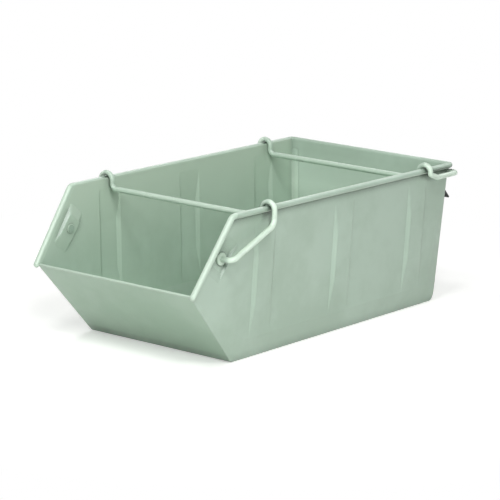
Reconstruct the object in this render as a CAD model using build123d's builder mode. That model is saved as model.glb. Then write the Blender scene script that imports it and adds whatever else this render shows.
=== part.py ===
from build123d import *
import os
from math import hypot

# Stack-and-nest storage bin in painted sheet steel, with an open hopper front and two wire bails.
# Frame: +X to the right, -Y out of the open front, +Z up; the floor's underside is at Z = 0 and
# the origin is under the middle of the whole object.

os.makedirs("parts", exist_ok=True)

# ---- driving sizes, millimetres ----
sheet = 1.2                  # thickness of all four panels
rim_wire_size = 6.0          # round wire rolled into the rims
bail_wire_size = 8.0         # round wire of the two bails

rim_front_half = 146.5       # centre plane to the middle of the rolled side rim, at its front end
rim_rear_half = 150.5        # the same at the rear corner: the bin is a little wider there
rim_height = 212.3           # floor underside to the middle of the rolled rim
rim_front = -230.5           # front end of the level side rims
rim_rear = 296.0             # middle of the rolled rear rim
rim_corner_radius = 5.0      # bend of the rim wire at the rear corners
rim_front_radius = 9.0       # bend of the rim wire where it turns down the sloping front edge

lip_front = -305.5           # top edge of the front lip
lip_height = 112.0
hem_depth = 9.0              # folded hem on the lip's top edge
hem_thickness = 3.6
hem_nose = 1.6               # rounding of the hem's fold

floor_front = -202.5         # bend between floor and front lip
rear_lean = 9.5              # foot of the rear panel ahead of the middle of the rear rim
floor_bend_radius = 6.0
wall_lean = 8.7              # how far the side walls lean in between the rim and the lower crease
crease_height = 30.0         # lower crease of the side walls
crease_inset = 7.5           # the bevel under the crease leans in by this much
front_crease_setback = 15.0  # front end of the lower crease behind the floor's front bend
rear_bevel = 26.0            # width of the bevel at the foot of the rear corners
rear_bevel_inset = 3.0

flange = 13.0                # lap flanges inside the corners

rib_pitch = 183.0
rib_middle = 32.4            # place of the middle rib of three
rib_width = 46.8
rib_flank = 6.5              # width of a rib's sloping sides
rib_low = 32.0
rib_top_gap = 13.0            # upper end of a rib below the middle of the rim
rib_depth = 3.5
rib_end = 48.0               # length of the run-out at a rib's ends
form_sink = 0.01             # how far a rib's form starts below the wall's face

eye_advance = 11.0           # front bail's pivot, ahead of the front end of the level rim
eye_drop = 57.8              # and below the middle of the rim
pocket_width = 28.0
pocket_length = 62.0
pocket_depth = 4.0
pocket_draft = 2.8           # the pocket's long sides are steep
pocket_end = 15.0            # and its ends run out gently

eyelet_collar = 18.0
eyelet_barrel = 11.4
eyelet_height = 2.5
eyelet_lip = 13.6
eyelet_lip_thickness = 0.8
pin_clearance = 0.06         # round the bail's wire in an eyelet or a hinge strap
seat_clearance = 0.3         # between loose faces that would rest on each other

hump_width = 20.5            # inner leg to outer leg, over the rolled rim
hump_bend = 10.2
bar_drop = 13.3              # middle of both crossbars below the middle of the rim
bar_bend = 8.0
front_bar_setback = 79.0     # front crossbar behind the front end of the level rim
rear_bar_advance = 69.5      # rear crossbar ahead of the rear rim
front_knee_drop = 22.3       # bend between upright leg and slanting arm, below the middle of the rim
front_knee_bend = 14.0
eye_bend = 9.0
head_diameter = 10.5         # upset head on the inner end of the front bail
head_thickness = 1.2

rear_axis_drop = 10.8        # rear bail's pivot and its side runs, below the middle of the rim
rear_knee_advance = 50.5     # where the rear bail's leg turns into its side run, ahead of the rear rim
rear_knee_drop = 4.3
rear_knee_bend = 8.0
rear_leg_bend = 3.6
rear_corner_bend = 9.0
rear_end_overhang = 13.0     # inner ends of the rear bail beyond the straps

strap_inset = 9.5            # outer face of a strap inside the middle of the side rim
strap_width = 20.0
strap_thickness = 2.5
strap_length = 27.0          # from the pivot down to where the tail bends away from the panel
tail_reach = 16.1
tail_drop = 16.0
tail_bend = 3.0

rim_radius = rim_wire_size / 2 + sheet
bore_radius = bail_wire_size / 2 + pin_clearance
rim_top = rim_height + rim_radius
hump_top = rim_top + seat_clearance + bail_wire_size / 2
rib_high = rim_height - rib_top_gap
floor_rear = rim_rear - rear_lean
front_crease = floor_front + front_crease_setback
eye_y = rim_front - eye_advance
eye_z = rim_height - eye_drop
front_bar_y = rim_front + front_bar_setback
rear_bar_y = rim_rear - rear_bar_advance
rear_knee_y = rim_rear - rear_knee_advance
strap_inner_x = rim_rear_half - strap_inset - strap_width
rear_end_x = strap_inner_x - rear_end_overhang
bar_height = rim_height - bar_drop
front_knee_z = rim_height - front_knee_drop
rear_axis_z = rim_height - rear_axis_drop
rear_knee_z = rim_height - rear_knee_drop
strap_foot = rear_axis_z - strap_length


# ---- planes of the bin's outer skin ----
def plane_through(a, b, c, inside):
    """Plane through three points whose normal points away from the point inside."""
    a, b, c = Vector(*a), Vector(*b), Vector(*c)
    normal = (b - a).cross(c - a).normalized()
    if normal.dot(Vector(*inside) - a) > 0:
        normal = normal * -1
    return Plane(origin=a, z_dir=normal)


middle = (0, 0, rim_height / 2)
roll_offset = rim_radius - sheet
rear_top_y = rim_rear - roll_offset


def rim_x(y):
    """Middle of the rolled side rim at depth y."""
    share = (y - rim_front) / (rim_rear - rim_front)
    return rim_front_half + (rim_rear_half - rim_front_half) * share


def wall_x(y, z):
    """Outer face of the right side wall at depth y and height z."""
    return rim_x(y) - roll_offset - wall_lean * (rim_height - z) / (rim_height - crease_height)


def rear_face_y(z):
    """Outer face of the rear panel at height z."""
    return floor_rear + (rear_top_y - floor_rear) * z / rim_height


def side_planes(side):
    """Main wall, lower bevel, front facet and rear bevel of one side (side is 1 or -1)."""
    top_front = (side * wall_x(rim_front, rim_height), rim_front, rim_height)
    top_rear = (side * wall_x(rear_top_y, rim_height), rear_top_y, rim_height)
    lip_end = (side * wall_x(lip_front, lip_height), lip_front, lip_height)
    crease_front = (side * wall_x(front_crease, crease_height), front_crease, crease_height)
    crease_end = rear_face_y(crease_height)
    bevel_start = crease_end - rear_bevel
    crease_rear = (side * wall_x(bevel_start, crease_height), bevel_start, crease_height)
    foot_front = (side * (wall_x(floor_front, crease_height) - crease_inset), floor_front, 0)
    edge_rear = (side * (wall_x(crease_end, crease_height) - rear_bevel_inset), crease_end, crease_height)
    return [
        plane_through(top_front, top_rear, crease_front, middle),
        plane_through(crease_front, crease_rear, foot_front, middle),
        plane_through(lip_end, crease_front, foot_front, middle),
        plane_through(top_rear, crease_rear, edge_rear, middle),
    ]


lip_edge = (0, lip_front, lip_height)
front_planes = [plane_through(lip_edge, (0, floor_front, 0), (100, floor_front, 0), middle)]
floor_planes = [plane_through((0, 0, 0), (100, 0, 0), (0, 100, 0), middle)]
rear_planes = [plane_through((0, rear_top_y, rim_height), (0, floor_rear, 0), (100, floor_rear, 0), middle)]
mouth_planes = [
    plane_through((0, 0, rim_height), (100, 0, rim_height), (0, 100, rim_height), middle),
    plane_through(lip_edge, (0, rim_front, rim_height), (100, rim_front, rim_height), middle),
]


def skin_block(side=0.0, floor=0.0, front=0.0, rear=0.0):
    """Solid block bounded by the outer skin, with its faces moved inwards by the given distances."""
    cuts = [(plane, side) for sign in (1, -1) for plane in side_planes(sign)]
    cuts += [(plane, floor) for plane in floor_planes]
    cuts += [(plane, front) for plane in front_planes]
    cuts += [(plane, rear) for plane in rear_planes]
    cuts += [(plane, 0.0) for plane in mouth_planes]
    with BuildPart() as block:
        with Locations((0, 0, rim_height / 2)):
            Box(3 * rim_rear_half, 3 * rim_rear, 2 * rim_height)
        for plane, inset in cuts:
            split(bisect_by=plane.offset(-inset), keep=Keep.BOTTOM)
        fillet(block.edges().filter_by(Axis.X).sort_by(Axis.Z)[:2], floor_bend_radius - floor)
    return block.part


whole_block = skin_block()
inside_walls = skin_block(side=sheet)

# ---- rolled rims and their wires: down the sloping edges, along both sides and across the rear ----
rim_right = [
    (wall_x(lip_front, lip_height) + roll_offset, lip_front, lip_height),
    (rim_front_half, rim_front, rim_height),
    (rim_rear_half, rim_rear, rim_height),
]
rim_points = rim_right + [(-x, y, z) for x, y, z in reversed(rim_right)]
rim_bends = [rim_front_radius, rim_corner_radius, rim_corner_radius, rim_front_radius]


def wire_along(points, radii, radius):
    """Round bar of the given radius swept along straight runs joined by tangent arcs."""
    with BuildPart() as bar:
        with BuildLine() as path:
            FilletPolyline(*points, radius=radii)
        with BuildSketch(Plane(origin=path.line @ 0, z_dir=path.line % 0)):
            Circle(radius)
        sweep()
    return bar.part


with BuildPart() as rim_tube:
    add(wire_along(rim_points, rim_bends, rim_radius))
    with Locations(rim_points[0], rim_points[-1]):
        Sphere(rim_radius)

rim_bore = wire_along(rim_points, rim_bends, rim_wire_size / 2)
rim_core = wire_along(rim_points, rim_bends, rim_wire_size / 2 - pin_clearance)
right_mitre = Plane(origin=rim_points[2], z_dir=(1, -1, 0))
left_mitre = Plane(origin=rim_points[3], z_dir=(-1, -1, 0))

with BuildPart() as right_rim_wire:
    add(rim_core)
    split(bisect_by=Plane.YZ, keep=Keep.TOP)
    split(bisect_by=right_mitre, keep=Keep.TOP)
right_rim_wire.part.label = "right_rim_wire"
export_step(right_rim_wire.part, "parts/right_rim_wire.step")

with BuildPart() as left_rim_wire:
    mirror(right_rim_wire.part, about=Plane.YZ)
left_rim_wire.part.label = "left_rim_wire"
export_step(left_rim_wire.part, "parts/left_rim_wire.step")

with BuildPart() as rear_rim_wire:
    add(rim_core)
    split(bisect_by=right_mitre, keep=Keep.BOTTOM)
    split(bisect_by=left_mitre, keep=Keep.BOTTOM)
rear_rim_wire.part.label = "rear_rim_wire"
export_step(rear_rim_wire.part, "parts/rear_rim_wire.step")

# ---- side panels: pressed sheet with three ribs, a pivot pocket, a rolled rim and lower bevels ----
wall_plane = side_planes(1)[0]


def on_wall(y, z):
    """Plane lying on the right wall's outer face, its x axis along Y, facing outwards."""
    return Plane(origin=(wall_x(y, z), y, z), x_dir=(0, 1, 0), z_dir=wall_plane.z_dir)


def rib_form(inset):
    """Outward bulge of one rib per rib place; inset moves it into the sheet."""
    length = rib_high - rib_low
    with BuildPart() as form:
        for step in (-1, 0, 1):
            seat = on_wall(rib_middle + step * rib_pitch, (rib_high + rib_low) / 2)
            with BuildSketch(seat.offset(-inset)):
                RectangleRounded(rib_width, length, 4)
            with BuildSketch(seat.offset(rib_depth - inset)):
                RectangleRounded(rib_width - 2 * rib_flank, length - 2 * rib_end, 4)
            loft()
    return form.part


pocket_floor_x = wall_x(eye_y, eye_z) - pocket_depth


def pocket_form(grow, inset):
    """Inward pocket round the bail's eye, its long sides parallel to the sloping edge."""
    across = (0, rim_height - lip_height, lip_front - rim_front)
    eye = (wall_x(eye_y, eye_z), eye_y, eye_z)
    wide = Plane(origin=eye, x_dir=across, z_dir=wall_plane.z_dir).offset(-inset)
    deep = Plane(origin=(pocket_floor_x - inset, eye_y, eye_z), x_dir=across, z_dir=(1, 0, 0))
    with BuildPart() as form:
        with BuildSketch(wide):
            RectangleRounded(pocket_width + 2 * grow, pocket_length + 2 * grow, 4 + grow)
        with BuildSketch(deep):
            RectangleRounded(
                pocket_width - 2 * pocket_draft + 2 * grow,
                pocket_length - 2 * pocket_end + 2 * grow,
                3 + grow,
            )
        loft()
    return form.part


rib_outside = rib_form(form_sink)
rib_inside = rib_form(sheet)
pocket_inside = pocket_form(sheet, sheet)
pocket_outside = pocket_form(0.0, 0.0)

with BuildPart() as side_rim:
    add(rim_tube.part)
    split(bisect_by=Plane.YZ, keep=Keep.TOP)
    split(bisect_by=right_mitre, keep=Keep.TOP)

with BuildPart() as rear_rim:
    add(rim_tube.part)
    split(bisect_by=right_mitre, keep=Keep.BOTTOM)
    split(bisect_by=left_mitre, keep=Keep.BOTTOM)

# lap flanges of the side panels lie on the inner faces of the pan and of the rear panel
stand_on = (Align.CENTER, Align.CENTER, Align.MIN)

with BuildPart() as side_flanges:
    add(skin_block(side=sheet / 2, floor=sheet, front=sheet, rear=sheet))
    add(skin_block(side=sheet, floor=2 * sheet, front=2 * sheet, rear=2 * sheet), mode=Mode.SUBTRACT)
    add(skin_block(side=flange), mode=Mode.SUBTRACT)
    split(bisect_by=Plane.YZ, keep=Keep.TOP)
    with Locations((0, floor_front, lip_height - hem_depth)):
        Box(3 * rim_rear_half, rim_height, rim_height, align=stand_on, mode=Mode.SUBTRACT)
    with Locations((0, 0, rim_height - flange)):
        Box(3 * rim_rear_half, 3 * rim_rear, rim_height, align=stand_on, mode=Mode.SUBTRACT)

with BuildPart() as right_side_panel:
    add(whole_block)
    add(inside_walls, mode=Mode.SUBTRACT)
    split(bisect_by=Plane.YZ, keep=Keep.TOP)
    add(side_flanges.part)
    add(rib_outside)
    add(rib_inside, mode=Mode.SUBTRACT)
    add(rear_rim.part, mode=Mode.SUBTRACT)
    add(pocket_inside)
    add(pocket_outside, mode=Mode.SUBTRACT)
    add(side_rim.part)
    add(rim_bore, mode=Mode.SUBTRACT)
    with BuildSketch(Plane(origin=(pocket_floor_x + sheet, eye_y, eye_z), z_dir=(1, 0, 0))):
        Circle(eyelet_barrel / 2 + pin_clearance)
    extrude(amount=-4 * sheet, mode=Mode.SUBTRACT)
right_side_panel.part.label = "right_side_panel"
export_step(right_side_panel.part, "parts/right_side_panel.step")

with BuildPart() as left_side_panel:
    mirror(right_side_panel.part, about=Plane.YZ)
left_side_panel.part.label = "left_side_panel"
export_step(left_side_panel.part, "parts/left_side_panel.step")

# ---- pan and rear panel: floor, front lip and rear wall in one line of sheet, seamed across the floor ----
floor_seam = Plane(origin=(0, floor_rear - floor_bend_radius - flange, 0), z_dir=(0, 1, 0))
lip_up = Vector(0, lip_front - floor_front, lip_height).normalized()
hem_foot = Plane(origin=Vector(0, lip_front, lip_height) - lip_up * hem_depth, z_dir=lip_up)

with BuildPart() as cross_sheet:
    add(inside_walls)
    add(skin_block(floor=sheet, front=sheet, rear=sheet), mode=Mode.SUBTRACT)

with BuildPart() as lip_hem:
    add(inside_walls)
    add(skin_block(front=hem_thickness), mode=Mode.SUBTRACT)
    split(bisect_by=hem_foot, keep=Keep.TOP)

with BuildPart() as floor_and_front_pan:
    add(cross_sheet.part)
    split(bisect_by=floor_seam, keep=Keep.BOTTOM)
    add(lip_hem.part)
    fillet(floor_and_front_pan.edges().filter_by(Axis.X).group_by(Axis.Z)[-1], hem_nose)
floor_and_front_pan.part.label = "floor_and_front_pan"
export_step(floor_and_front_pan.part, "parts/floor_and_front_pan.step")

with BuildPart() as rear_panel:
    add(cross_sheet.part)
    split(bisect_by=floor_seam, keep=Keep.TOP)
    add(rear_rim.part)
    add(rim_bore, mode=Mode.SUBTRACT)
rear_panel.part.label = "rear_panel"
export_step(rear_panel.part, "parts/rear_panel.step")

# ---- front eyelets: turned bushes set through the pockets, flared over inside the bin ----
with BuildPart() as right_front_eyelet:
    with BuildSketch(Plane(origin=(pocket_floor_x, eye_y, eye_z), z_dir=(1, 0, 0))):
        Circle(eyelet_collar / 2)
    extrude(amount=eyelet_height)
    fillet(right_front_eyelet.edges().sort_by(Axis.X)[-1], eyelet_height / 3)
    with BuildSketch(Plane(origin=(pocket_floor_x, eye_y, eye_z), z_dir=(1, 0, 0))):
        Circle(eyelet_barrel / 2)
    extrude(amount=-sheet)
    with BuildSketch(Plane(origin=(pocket_floor_x - sheet, eye_y, eye_z), z_dir=(1, 0, 0))):
        Circle(eyelet_lip / 2)
    extrude(amount=-eyelet_lip_thickness)
    with BuildSketch(Plane(origin=(pocket_floor_x, eye_y, eye_z), z_dir=(1, 0, 0))):
        Circle(bore_radius)
    extrude(amount=eyelet_collar, both=True, mode=Mode.SUBTRACT)
right_front_eyelet.part.label = "right_front_eyelet"
export_step(right_front_eyelet.part, "parts/right_front_eyelet.step")

with BuildPart() as left_front_eyelet:
    mirror(right_front_eyelet.part, about=Plane.YZ)
left_front_eyelet.part.label = "left_front_eyelet"
export_step(left_front_eyelet.part, "parts/left_front_eyelet.step")

# ---- front bail: one bent wire, its ends upset into heads inside the eyelets ----
front_leg_x = rim_x(front_bar_y) + hump_width / 2
head_face_x = pocket_floor_x - sheet - eyelet_lip_thickness - seat_clearance


def bail_wire(half_route, half_bends):
    """Wire mirrored about the middle plane; the route runs from the right-hand end to the crossbar."""
    route = half_route + [(-x, y, z) for x, y, z in reversed(half_route)]
    return wire_along(route, half_bends + half_bends[::-1], bail_wire_size / 2)


front_route = [
    (head_face_x, eye_y, eye_z),
    (front_leg_x, eye_y, eye_z),
    (front_leg_x, front_bar_y, front_knee_z),
    (front_leg_x, front_bar_y, hump_top),
    (front_leg_x - hump_width, front_bar_y, hump_top),
    (front_leg_x - hump_width, front_bar_y, bar_height),
]
front_bends = [eye_bend, front_knee_bend, hump_bend, hump_bend, bar_bend]

with BuildPart() as front_bail:
    add(bail_wire(front_route, front_bends))
    for side in (1, -1):
        with BuildSketch(Plane(origin=(side * head_face_x, eye_y, eye_z), z_dir=(-side, 0, 0))):
            Circle(head_diameter / 2)
        extrude(amount=head_thickness)
front_bail.part.label = "front_bail"
export_step(front_bail.part, "parts/front_bail.step")

# ---- rear bail: one bent wire whose ends turn inwards behind the rear panel ----
rear_leg_x = rim_x(rear_bar_y) + hump_width / 2
strap_outer = bore_radius + strap_thickness
panel_slant = hypot(rear_top_y - floor_rear, rim_height) / rim_height
rear_axis_y = rear_face_y(rear_axis_z) + strap_outer * panel_slant
rear_route = [
    (rear_end_x, rear_axis_y, rear_axis_z),
    (rear_leg_x, rear_axis_y, rear_axis_z),
    (rear_leg_x, rear_knee_y, rear_axis_z),
    (rear_leg_x, rear_bar_y, rear_knee_z),
    (rear_leg_x, rear_bar_y, hump_top),
    (rear_leg_x - hump_width, rear_bar_y, hump_top),
    (rear_leg_x - hump_width, rear_bar_y, bar_height),
]
rear_bends = [rear_corner_bend, rear_knee_bend, rear_leg_bend, hump_bend, hump_bend, bar_bend]

with BuildPart() as rear_bail:
    add(bail_wire(rear_route, rear_bends))
rear_bail.part.label = "rear_bail"
export_step(rear_bail.part, "parts/rear_bail.step")

# ---- rear hinge straps: flat strip rolled round the bail's wire and welded to the rear panel ----
with BuildPart() as right_rear_hinge_strap:
    with BuildSketch(Plane(origin=(strap_inner_x, 0, 0), x_dir=(0, 1, 0), z_dir=(1, 0, 0))):
        with Locations((rear_axis_y, rear_axis_z)):
            Circle(strap_outer)
        with BuildLine():
            FilletPolyline(
                (rear_face_y(rear_axis_z), rear_axis_z),
                (rear_face_y(strap_foot), strap_foot),
                (rear_face_y(strap_foot) + tail_reach, strap_foot - tail_drop),
                radius=tail_bend,
            )
            offset(amount=strap_thickness, side=Side.LEFT)
        make_face()
        with Locations((rear_axis_y, rear_axis_z)):
            Circle(bore_radius, mode=Mode.SUBTRACT)
    extrude(amount=strap_width)
right_rear_hinge_strap.part.label = "right_rear_hinge_strap"
export_step(right_rear_hinge_strap.part, "parts/right_rear_hinge_strap.step")

with BuildPart() as left_rear_hinge_strap:
    mirror(right_rear_hinge_strap.part, about=Plane.YZ)
left_rear_hinge_strap.part.label = "left_rear_hinge_strap"
export_step(left_rear_hinge_strap.part, "parts/left_rear_hinge_strap.step")
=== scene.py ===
import bpy
import math
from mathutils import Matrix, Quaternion, Vector


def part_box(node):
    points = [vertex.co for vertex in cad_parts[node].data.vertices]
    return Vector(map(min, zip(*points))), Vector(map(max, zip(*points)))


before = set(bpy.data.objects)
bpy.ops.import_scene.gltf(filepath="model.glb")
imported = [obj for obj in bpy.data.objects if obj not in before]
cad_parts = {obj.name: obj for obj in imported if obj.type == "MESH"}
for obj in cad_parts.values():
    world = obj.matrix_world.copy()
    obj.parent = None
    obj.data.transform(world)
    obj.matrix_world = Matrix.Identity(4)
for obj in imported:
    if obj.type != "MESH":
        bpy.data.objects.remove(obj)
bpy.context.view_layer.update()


# ---- Floor and front pan ----
# One 1.2 mm mild-steel sheet, bent up at the front into the sloping lip, whose top edge is folded
# over into a hem. Like the whole bin it was spot welded first and then dipped in grey-green enamel.
def srgb(code):
    """Linear colour with alpha from an sRGB hex code."""
    parts = [int(code[i:i + 2], 16) / 255 for i in (0, 2, 4)]
    return [c / 12.92 if c <= 0.04045 else ((c + 0.055) / 1.055) ** 2.4 for c in parts] + [1.0]


def add_node(tree, kind, settings=None, **inputs):
    """Adds a node with its settings; each input is a value or another node's output socket.

    An input is named as its socket, with _ for a space, or i and its number."""
    node = tree.nodes.new(kind)
    for name, value in (settings or {}).items():
        setattr(node, name, value)
    for name, value in inputs.items():
        key = int(name[1:]) if name[0] == "i" and name[1:].isdigit() else name.replace("_", " ")
        if isinstance(value, bpy.types.NodeSocket):
            tree.links.new(value, node.inputs[key])
        else:
            node.inputs[key].default_value = value
    return node


def times(tree, first, second):
    """The product of two masks."""
    return add_node(tree, "ShaderNodeMath", {"operation": "MULTIPLY"}, i0=first, i1=second).outputs[0]


def outward(tree, coordinates):
    """1 on the faces that look away from the bin's middle, 0 on those inside it."""
    facing = add_node(tree, "ShaderNodeVectorMath", {"operation": "DOT_PRODUCT"}, i0=coordinates["Object"],
                      i1=coordinates["Normal"]).outputs["Value"]
    return add_node(tree, "ShaderNodeMath", {"operation": "GREATER_THAN"}, i0=facing, i1=0.0).outputs[0]


def crevice(tree):
    """1 deep in hollows and inner corners, where the painted shade goes, 0 on the open surface; it looks 14
    mm round each point.
    """
    openness = add_node(tree, "ShaderNodeAmbientOcclusion", {"samples": 6}, Distance=0.014).outputs["AO"]
    return add_node(tree, "ShaderNodeMapRange", Value=openness, i1=0.95, i2=0.6).outputs["Result"]


def enamel(name, light, deep, painted_shade_colour, roughness, edge_mm, patches=()):
    """Dipped enamel on steel: clouded film, painted shade in the crevices, orange peel, dust specks, soft
    edges.

    Each patch is a function that adds the nodes that mark it, and the patch's colour."""
    cloud_mm = 90.9      # across a thick or thin place in the film
    speck_mm = 6.667     # from one dust speck to the next; a speck is about 1 mm across
    peel_mm = 2.381      # from one dimple of the orange peel to the next
    ripple_mm = 35.71    # across a shallow wave of the rolled sheet

    material = bpy.data.materials.new(name)
    material.use_nodes = True
    tree = material.node_tree
    tree.nodes.clear()
    coordinates = add_node(tree, "ShaderNodeTexCoord").outputs
    place = coordinates["Object"]

    # The film's thickness shifts the tint a little, and the patches lie over it.
    cloud = add_node(tree, "ShaderNodeTexNoise", Vector=place, Scale=1000 / cloud_mm, Detail=4.0,
                     Roughness=0.6).outputs["Fac"]
    spread = add_node(tree, "ShaderNodeMapRange", {"interpolation_type": "SMOOTHSTEP"}, Value=cloud,
                      i1=0.35, i2=0.65).outputs["Result"]
    tint = add_node(tree, "ShaderNodeMix", {"data_type": "RGBA"}, i0=spread,
                    i6=srgb(light), i7=srgb(deep)).outputs[2]
    for mark, colour in patches:
        tint = add_node(tree, "ShaderNodeMix", {"data_type": "RGBA"}, i0=mark(tree, coordinates),
                        i6=tint, i7=srgb(colour)).outputs[2]

    # Corners get a fifth of the painted shade that the open curl under the outside of the rims gets.
    corner_share = 0.2
    curl_share = 1.0
    sheet_and_gap = 0.0013
    roll_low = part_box("rear_rim_wire")[0][2] - sheet_and_gap
    height = add_node(tree, "ShaderNodeSeparateXYZ", Vector=place).outputs["Z"]
    by_rim = add_node(tree, "ShaderNodeMapRange", Value=height, i1=roll_low - 0.016,
                      i2=roll_low - 0.006).outputs["Result"]
    open_curl = times(tree, by_rim, outward(tree, coordinates))
    share = add_node(tree, "ShaderNodeMapRange", Value=open_curl, i3=corner_share,
                     i4=curl_share).outputs["Result"]
    # Painted shade: hollows, inner corners and the underside of the rims are darkened towards the shade
    # colour, where shade falls.
    painted_shade_mask = times(tree, crevice(tree), share)
    tint = add_node(tree, "ShaderNodeMix", {"data_type": "RGBA"}, i0=painted_shade_mask, i6=tint, i7=srgb(painted_shade_colour)).outputs[2]

    speck = add_node(tree, "ShaderNodeTexVoronoi", Vector=place, Scale=1000 / speck_mm).outputs["Distance"]
    pit = add_node(tree, "ShaderNodeMapRange", Value=speck, i1=0.05, i2=0.09, i3=0.5,
                   i4=0.0).outputs["Result"]
    tint = add_node(tree, "ShaderNodeMix", {"data_type": "RGBA"}, i0=pit, i6=tint, i7=srgb(deep)).outputs[2]

    gloss = add_node(tree, "ShaderNodeMapRange", Value=cloud, i1=0.3, i2=0.7,
                     i3=roughness - 0.05, i4=roughness + 0.07).outputs["Result"]
    rounded = add_node(tree, "ShaderNodeBevel", {"samples": 6}, Radius=edge_mm / 1000).outputs["Normal"]
    peel = add_node(tree, "ShaderNodeTexNoise", Vector=place, Scale=1000 / peel_mm, Detail=2.0).outputs["Fac"]
    dimpled = add_node(tree, "ShaderNodeBump", Height=peel, Distance=0.00006, Strength=0.5,
                       Normal=rounded).outputs["Normal"]
    ripple = add_node(tree, "ShaderNodeTexNoise", Vector=place, Scale=1000 / ripple_mm,
                      Detail=1.0).outputs["Fac"]
    waved = add_node(tree, "ShaderNodeBump", Height=ripple, Distance=0.0006, Strength=0.35,
                     Normal=dimpled).outputs["Normal"]

    shader = add_node(tree, "ShaderNodeBsdfPrincipled", Base_Color=tint, Roughness=gloss, IOR=1.5,
                      Normal=waved)
    add_node(tree, "ShaderNodeOutputMaterial", Surface=shader.outputs["BSDF"])
    return material


def dress(node, material):
    """Gives every slot of a CAD node the material."""
    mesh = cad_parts[node].data
    if not mesh.materials:
        mesh.materials.append(material)
    for i in range(len(mesh.materials)):
        mesh.materials[i] = material


def beyond(tree, coordinates, direction, level):
    """Marks the points that lie more than level along the direction, with an edge 1 mm soft."""
    along = add_node(tree, "ShaderNodeVectorMath", {"operation": "DOT_PRODUCT"}, i0=coordinates["Object"],
                     i1=direction).outputs["Value"]
    return add_node(tree, "ShaderNodeMapRange", Value=along, i1=level, i2=level + 0.001).outputs["Result"]


def hem_top_highlight(tree, coordinates):
    """The top of the hem, 4 mm of it, painted paler as a painted highlight."""
    highlight_band = 0.00425
    low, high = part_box("floor_and_front_pan")
    up_and_out = Vector((0.0, -0.677, 0.736))
    reach = up_and_out.dot(Vector((0.0, low[1], high[2])))
    return beyond(tree, coordinates, up_and_out, reach - highlight_band)


# The pan's enamel is a shade darker than the side panels' as painted shade of the lip, which faces down.
pan_enamel = enamel("grey_green_enamel_pan", "A5BFAA", "9DB8A2", "3F4D41", 0.36, 1.2,
                    [(hem_top_highlight, "B3C7B6")])
dress("floor_and_front_pan", pan_enamel)

# ---- Side panels ----
# Pressed 1.2 mm sheet, one the mirror of the other: three outward ribs, a sunk pocket round the bail's
# eye, bevelled feet, and an edge rolled round a wire along the top and down the sloping front.
def sloping_rim_highlight(tree, coordinates):
    """The sloping stretch of the rolled rim, painted paler as a painted highlight; its wire starts low at the
    lip.
    """
    roll_depth = 0.0056
    wire_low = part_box("left_rim_wire")[0]
    off_slope = Vector((0.0, -0.801, 0.599))
    wire_reach = off_slope.dot(Vector((0.0, wire_low[1], wire_low[2])))
    return beyond(tree, coordinates, off_slope, wire_reach - roll_depth)


def inward(tree, coordinates):
    """1 on the faces inside the bin, 0 on those that look away from its middle."""
    return add_node(tree, "ShaderNodeMath", {"operation": "SUBTRACT"}, i0=1.0,
                    i1=outward(tree, coordinates)).outputs[0]


def between(tree, coordinates, start, end):
    """Grows from 0 at the height start to 1 at the height end."""
    height = add_node(tree, "ShaderNodeSeparateXYZ", Vector=coordinates["Object"]).outputs["Z"]
    return add_node(tree, "ShaderNodeMapRange", Value=height, i1=start, i2=end).outputs["Result"]


def inner_top_painted_light(tree, coordinates):
    """The inner faces from half their height up to the rim, painted paler as painted light."""
    half_way, near_rim = 0.1, 0.2
    return times(tree, between(tree, coordinates, half_way, near_rim), inward(tree, coordinates))


def below_rim_painted_light(tree, coordinates):
    """The faces inside the bin below its rim, painted paler as painted light."""
    near_rim, below_rim = 0.2, 0.15
    return times(tree, between(tree, coordinates, near_rim, below_rim), inward(tree, coordinates))


def rear_lap(tree, coordinates):
    """The lap flange that lies on the leaning rear panel and wears its colour."""
    sheet = 0.0012
    foot_length = 0.019
    off_panel = Vector((0.0, 0.9995, -0.0306))
    panel_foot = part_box("rear_panel")[0][1] + foot_length
    flange = beyond(tree, coordinates, off_panel, off_panel.y * panel_foot - 3 * sheet)
    return times(tree, flange, inward(tree, coordinates))


def lap_painted_highlight(tree, coordinates):
    """The part of that flange below the rim, painted pale as a painted highlight on the bend."""
    return times(tree, rear_lap(tree, coordinates), below_rim_painted_light(tree, coordinates))


def pocket_painted_shade(tree, coordinates):
    """Painted shade in the hollows of the pocket round the bail's eye."""
    pocket_end = 0.031
    soft = 0.005
    low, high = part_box("right_front_eyelet")
    eye = (0.0, (low[1] + high[1]) / 2, (low[2] + high[2]) / 2)
    side_view = add_node(tree, "ShaderNodeVectorMath", {"operation": "MULTIPLY"}, i0=coordinates["Object"],
                         i1=(0.0, 1.0, 1.0)).outputs["Vector"]
    from_eye = add_node(tree, "ShaderNodeVectorMath", {"operation": "DISTANCE"}, i0=side_view,
                        i1=eye).outputs["Value"]
    by_eye = add_node(tree, "ShaderNodeMapRange", Value=from_eye, i1=pocket_end + soft,
                      i2=pocket_end - soft).outputs["Result"]
    return times(tree, crevice(tree), by_eye)


side_enamel = enamel("grey_green_enamel_sides", "B0C5B5", "A7BCAB", "3F4D41", 0.33, 1.0,
                     [(inner_top_painted_light, "B9CCBA"), (sloping_rim_highlight, "BDD1C0"), (rear_lap, "AFC3B4"),
                      (lap_painted_highlight, "D8EADA"), (pocket_painted_shade, "5A6B5D")])
for node in ("left_side_panel", "right_side_panel"):
    dress(node, side_enamel)

# ---- Rear panel and rim wires ----
# The rear panel is the same sheet with the same rolled edge; the 6 mm wires lie inside the rolls.
rear_enamel = enamel("grey_green_enamel_rear", "AFC3B4", "A6BAAA", "3F4D41", 0.33, 1.0,
                     [(below_rim_painted_light, "C1D4C5")])
dress("rear_panel", rear_enamel)
for node in ("left_rim_wire", "right_rim_wire", "rear_rim_wire"):
    dress(node, rear_enamel)

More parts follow.
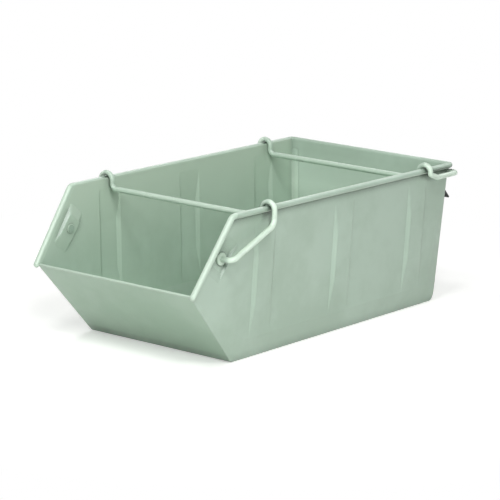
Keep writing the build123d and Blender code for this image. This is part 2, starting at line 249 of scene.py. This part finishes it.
# ---- Front eyelets ----
# Turned steel bushes pressed through the pockets and flared over inside; their enamel is painted paler than
# the panels' as painted light.
eyelet_enamel = enamel("grey_green_enamel_eyelets", "C8DBCA", "BFD3C2", "5F7362", 0.3, 0.4)
for node in ("left_front_eyelet", "right_front_eyelet"):
    dress(node, eyelet_enamel)

# ---- Rear hinge straps ----
# Flat strip rolled round the bail's wire and welded to the rear panel, painted near-black as painted shade,
# for it sits in the rear panel's shadow.
strap_painted_shade_enamel = enamel("painted_shade_straps", "20211E", "1A1B18", "121311", 0.5, 0.6)
for node in ("left_rear_hinge_strap", "right_rear_hinge_strap"):
    dress(node, strap_painted_shade_enamel)

# ---- Bails ----
# 8 mm round steel wire, bent cold; the dip leaves a thicker, glossier film on it than on the sheet, and its
# colour is painted paler than the sheet's as painted light.
def bail_heads_painted_shade(tree, coordinates):
    """The front bail's upset heads inside the pockets, painted darker than the panels as painted shade."""
    play = 0.0005
    eyelet_low, eyelet_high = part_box("right_front_eyelet")
    parts = add_node(tree, "ShaderNodeSeparateXYZ", Vector=coordinates["Object"])
    aside = add_node(tree, "ShaderNodeMath", {"operation": "ABSOLUTE"}, i0=parts.outputs["X"]).outputs[0]
    inside = add_node(tree, "ShaderNodeMath", {"operation": "LESS_THAN"}, i0=aside,
                      i1=eyelet_low[0] + play).outputs[0]
    below = add_node(tree, "ShaderNodeMath", {"operation": "LESS_THAN"}, i0=parts.outputs["Z"],
                     i1=eyelet_high[2]).outputs[0]
    return times(tree, inside, below)


def bail_arms_highlight(tree, coordinates):
    """The arms outside the rims, painted paler as a painted highlight."""
    soft = 0.004
    arm_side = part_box("right_rim_wire")[1][0] - 0.0004
    parts = add_node(tree, "ShaderNodeSeparateXYZ", Vector=coordinates["Object"])
    aside = add_node(tree, "ShaderNodeMath", {"operation": "ABSOLUTE"}, i0=parts.outputs["X"]).outputs[0]
    return add_node(tree, "ShaderNodeMapRange", Value=aside, i1=arm_side - soft,
                    i2=arm_side).outputs["Result"]


bail_enamel = enamel("grey_green_enamel_bails", "BDD1C0", "B4C9B8", "4F6052", 0.27, 0.3,
                     [(bail_heads_painted_shade, "9DB1A2"), (bail_arms_highlight, "D3E6D5")])
for node in ("front_bail", "rear_bail"):
    dress(node, bail_enamel)

# ---- Studio ----
# A pale floor that fades to white away from the bin, soft lamps round it and a white surround.
def plain_view(tree):
    """1 for what the camera sees, directly or in a gloss or through glass, and 0 for light on the bin."""
    path = add_node(tree, "ShaderNodeLightPath").outputs
    direct = add_node(tree, "ShaderNodeMath", {"operation": "MAXIMUM"}, i0=path["Is Camera Ray"],
                      i1=path["Is Glossy Ray"]).outputs[0]
    return add_node(tree, "ShaderNodeMath", {"operation": "MAXIMUM"}, i0=direct,
                    i1=path["Is Transmission Ray"]).outputs[0]


floor_material = bpy.data.materials.new("studio_floor")
floor_material.use_nodes = True
tree = floor_material.node_tree
tree.nodes.clear()
ray = plain_view(tree)
spot = add_node(tree, "ShaderNodeTexCoord").outputs["Object"]
radius = add_node(tree, "ShaderNodeVectorMath", {"operation": "LENGTH"}, Vector=spot).outputs["Value"]
shadow_radius = 0.32
white_radius = 0.8
floor_glow = 0.36
fade = add_node(tree, "ShaderNodeMapRange", {"interpolation_type": "SMOOTHSTEP"}, Value=radius,
                i1=shadow_radius, i2=white_radius).outputs["Result"]
blank = times(tree, fade, ray)
lift = times(tree, ray, floor_glow)
matt = add_node(tree, "ShaderNodeBsdfDiffuse", Color=srgb("EDEDEB")).outputs["BSDF"]
glow = add_node(tree, "ShaderNodeEmission", Strength=lift).outputs["Emission"]
lit = add_node(tree, "ShaderNodeAddShader", i0=matt, i1=glow).outputs["Shader"]
white = add_node(tree, "ShaderNodeEmission", Strength=1.0).outputs["Emission"]
ground = add_node(tree, "ShaderNodeMixShader", i0=blank, i1=lit, i2=white).outputs["Shader"]
add_node(tree, "ShaderNodeOutputMaterial", Surface=ground)
bpy.ops.mesh.primitive_plane_add(size=60.0, location=(0, 0, -0.0005))
floor = bpy.context.object
floor.name = "studio_floor"
floor.data.materials.append(floor_material)

world = bpy.data.worlds.new("studio")
bpy.context.scene.world = world
world.use_nodes = True
tree = world.node_tree
tree.nodes.clear()
light_on_bin = 0.05
seen_white = 1.0
power = add_node(tree, "ShaderNodeMapRange", Value=plain_view(tree), i3=light_on_bin,
                 i4=seen_white).outputs["Result"]
surround = add_node(tree, "ShaderNodeBackground", Strength=power).outputs["Background"]
add_node(tree, "ShaderNodeOutputWorld", Surface=surround)


def lamp(name, azimuth, elevation, size, watts):
    """Square area lamp; azimuth turns from the open front towards the right, elevation up."""
    bin_middle = Vector((0, 0, 0.1))
    distance = 2.6
    data = bpy.data.lights.new(name, "AREA")
    data.size = size
    data.energy = watts
    obj = bpy.data.objects.new(name, data)
    bpy.context.scene.collection.objects.link(obj)
    turn, rise = math.radians(azimuth), math.radians(elevation)
    way = Vector((math.sin(turn) * math.cos(rise), -math.cos(turn) * math.cos(rise), math.sin(rise)))
    obj.location = bin_middle + way * distance
    obj.rotation_mode = "QUATERNION"
    obj.rotation_quaternion = (-way).to_track_quat("-Z", "Y")


lamp("key_lamp", 52, 28, 0.5, 17)
lamp("high_key_lamp", 48, 48, 0.5, 17)
lamp("side_lamp", 50, 14, 0.8, 9)
lamp("front_lamp", 15, 12, 0.8, 2.5)
lamp("high_front_lamp", 18, 52, 0.5, 17)
lamp("top_lamp", -40, 65, 0.5, 15)
lamp("back_right_lamp", 165, 35, 0.8, 9)
lamp("back_left_lamp", -150, 35, 0.8, 10)
lamp("left_lamp", -95, 22, 0.8, 7)

camera_data = bpy.data.cameras.new("camera")
camera = bpy.data.objects.new("camera", camera_data)
bpy.context.scene.collection.objects.link(camera)
bpy.context.scene.camera = camera
# A long lens that looks from the front right, a little above the rim, at the middle of the bin.
camera.location = (2.1404, -2.7767, 0.9076)
aim = Vector((0, 0, 0.105))
roll = Quaternion((0, 0, 1), math.radians(1.454))
camera.rotation_mode = "QUATERNION"
camera.rotation_quaternion = (aim - camera.location).to_track_quat("-Z", "Y") @ roll
camera_data.sensor_width = 36.0
camera_data.lens = 177.06
camera_data.clip_end = 100.0

bpy.context.scene.view_settings.view_transform = "Standard"
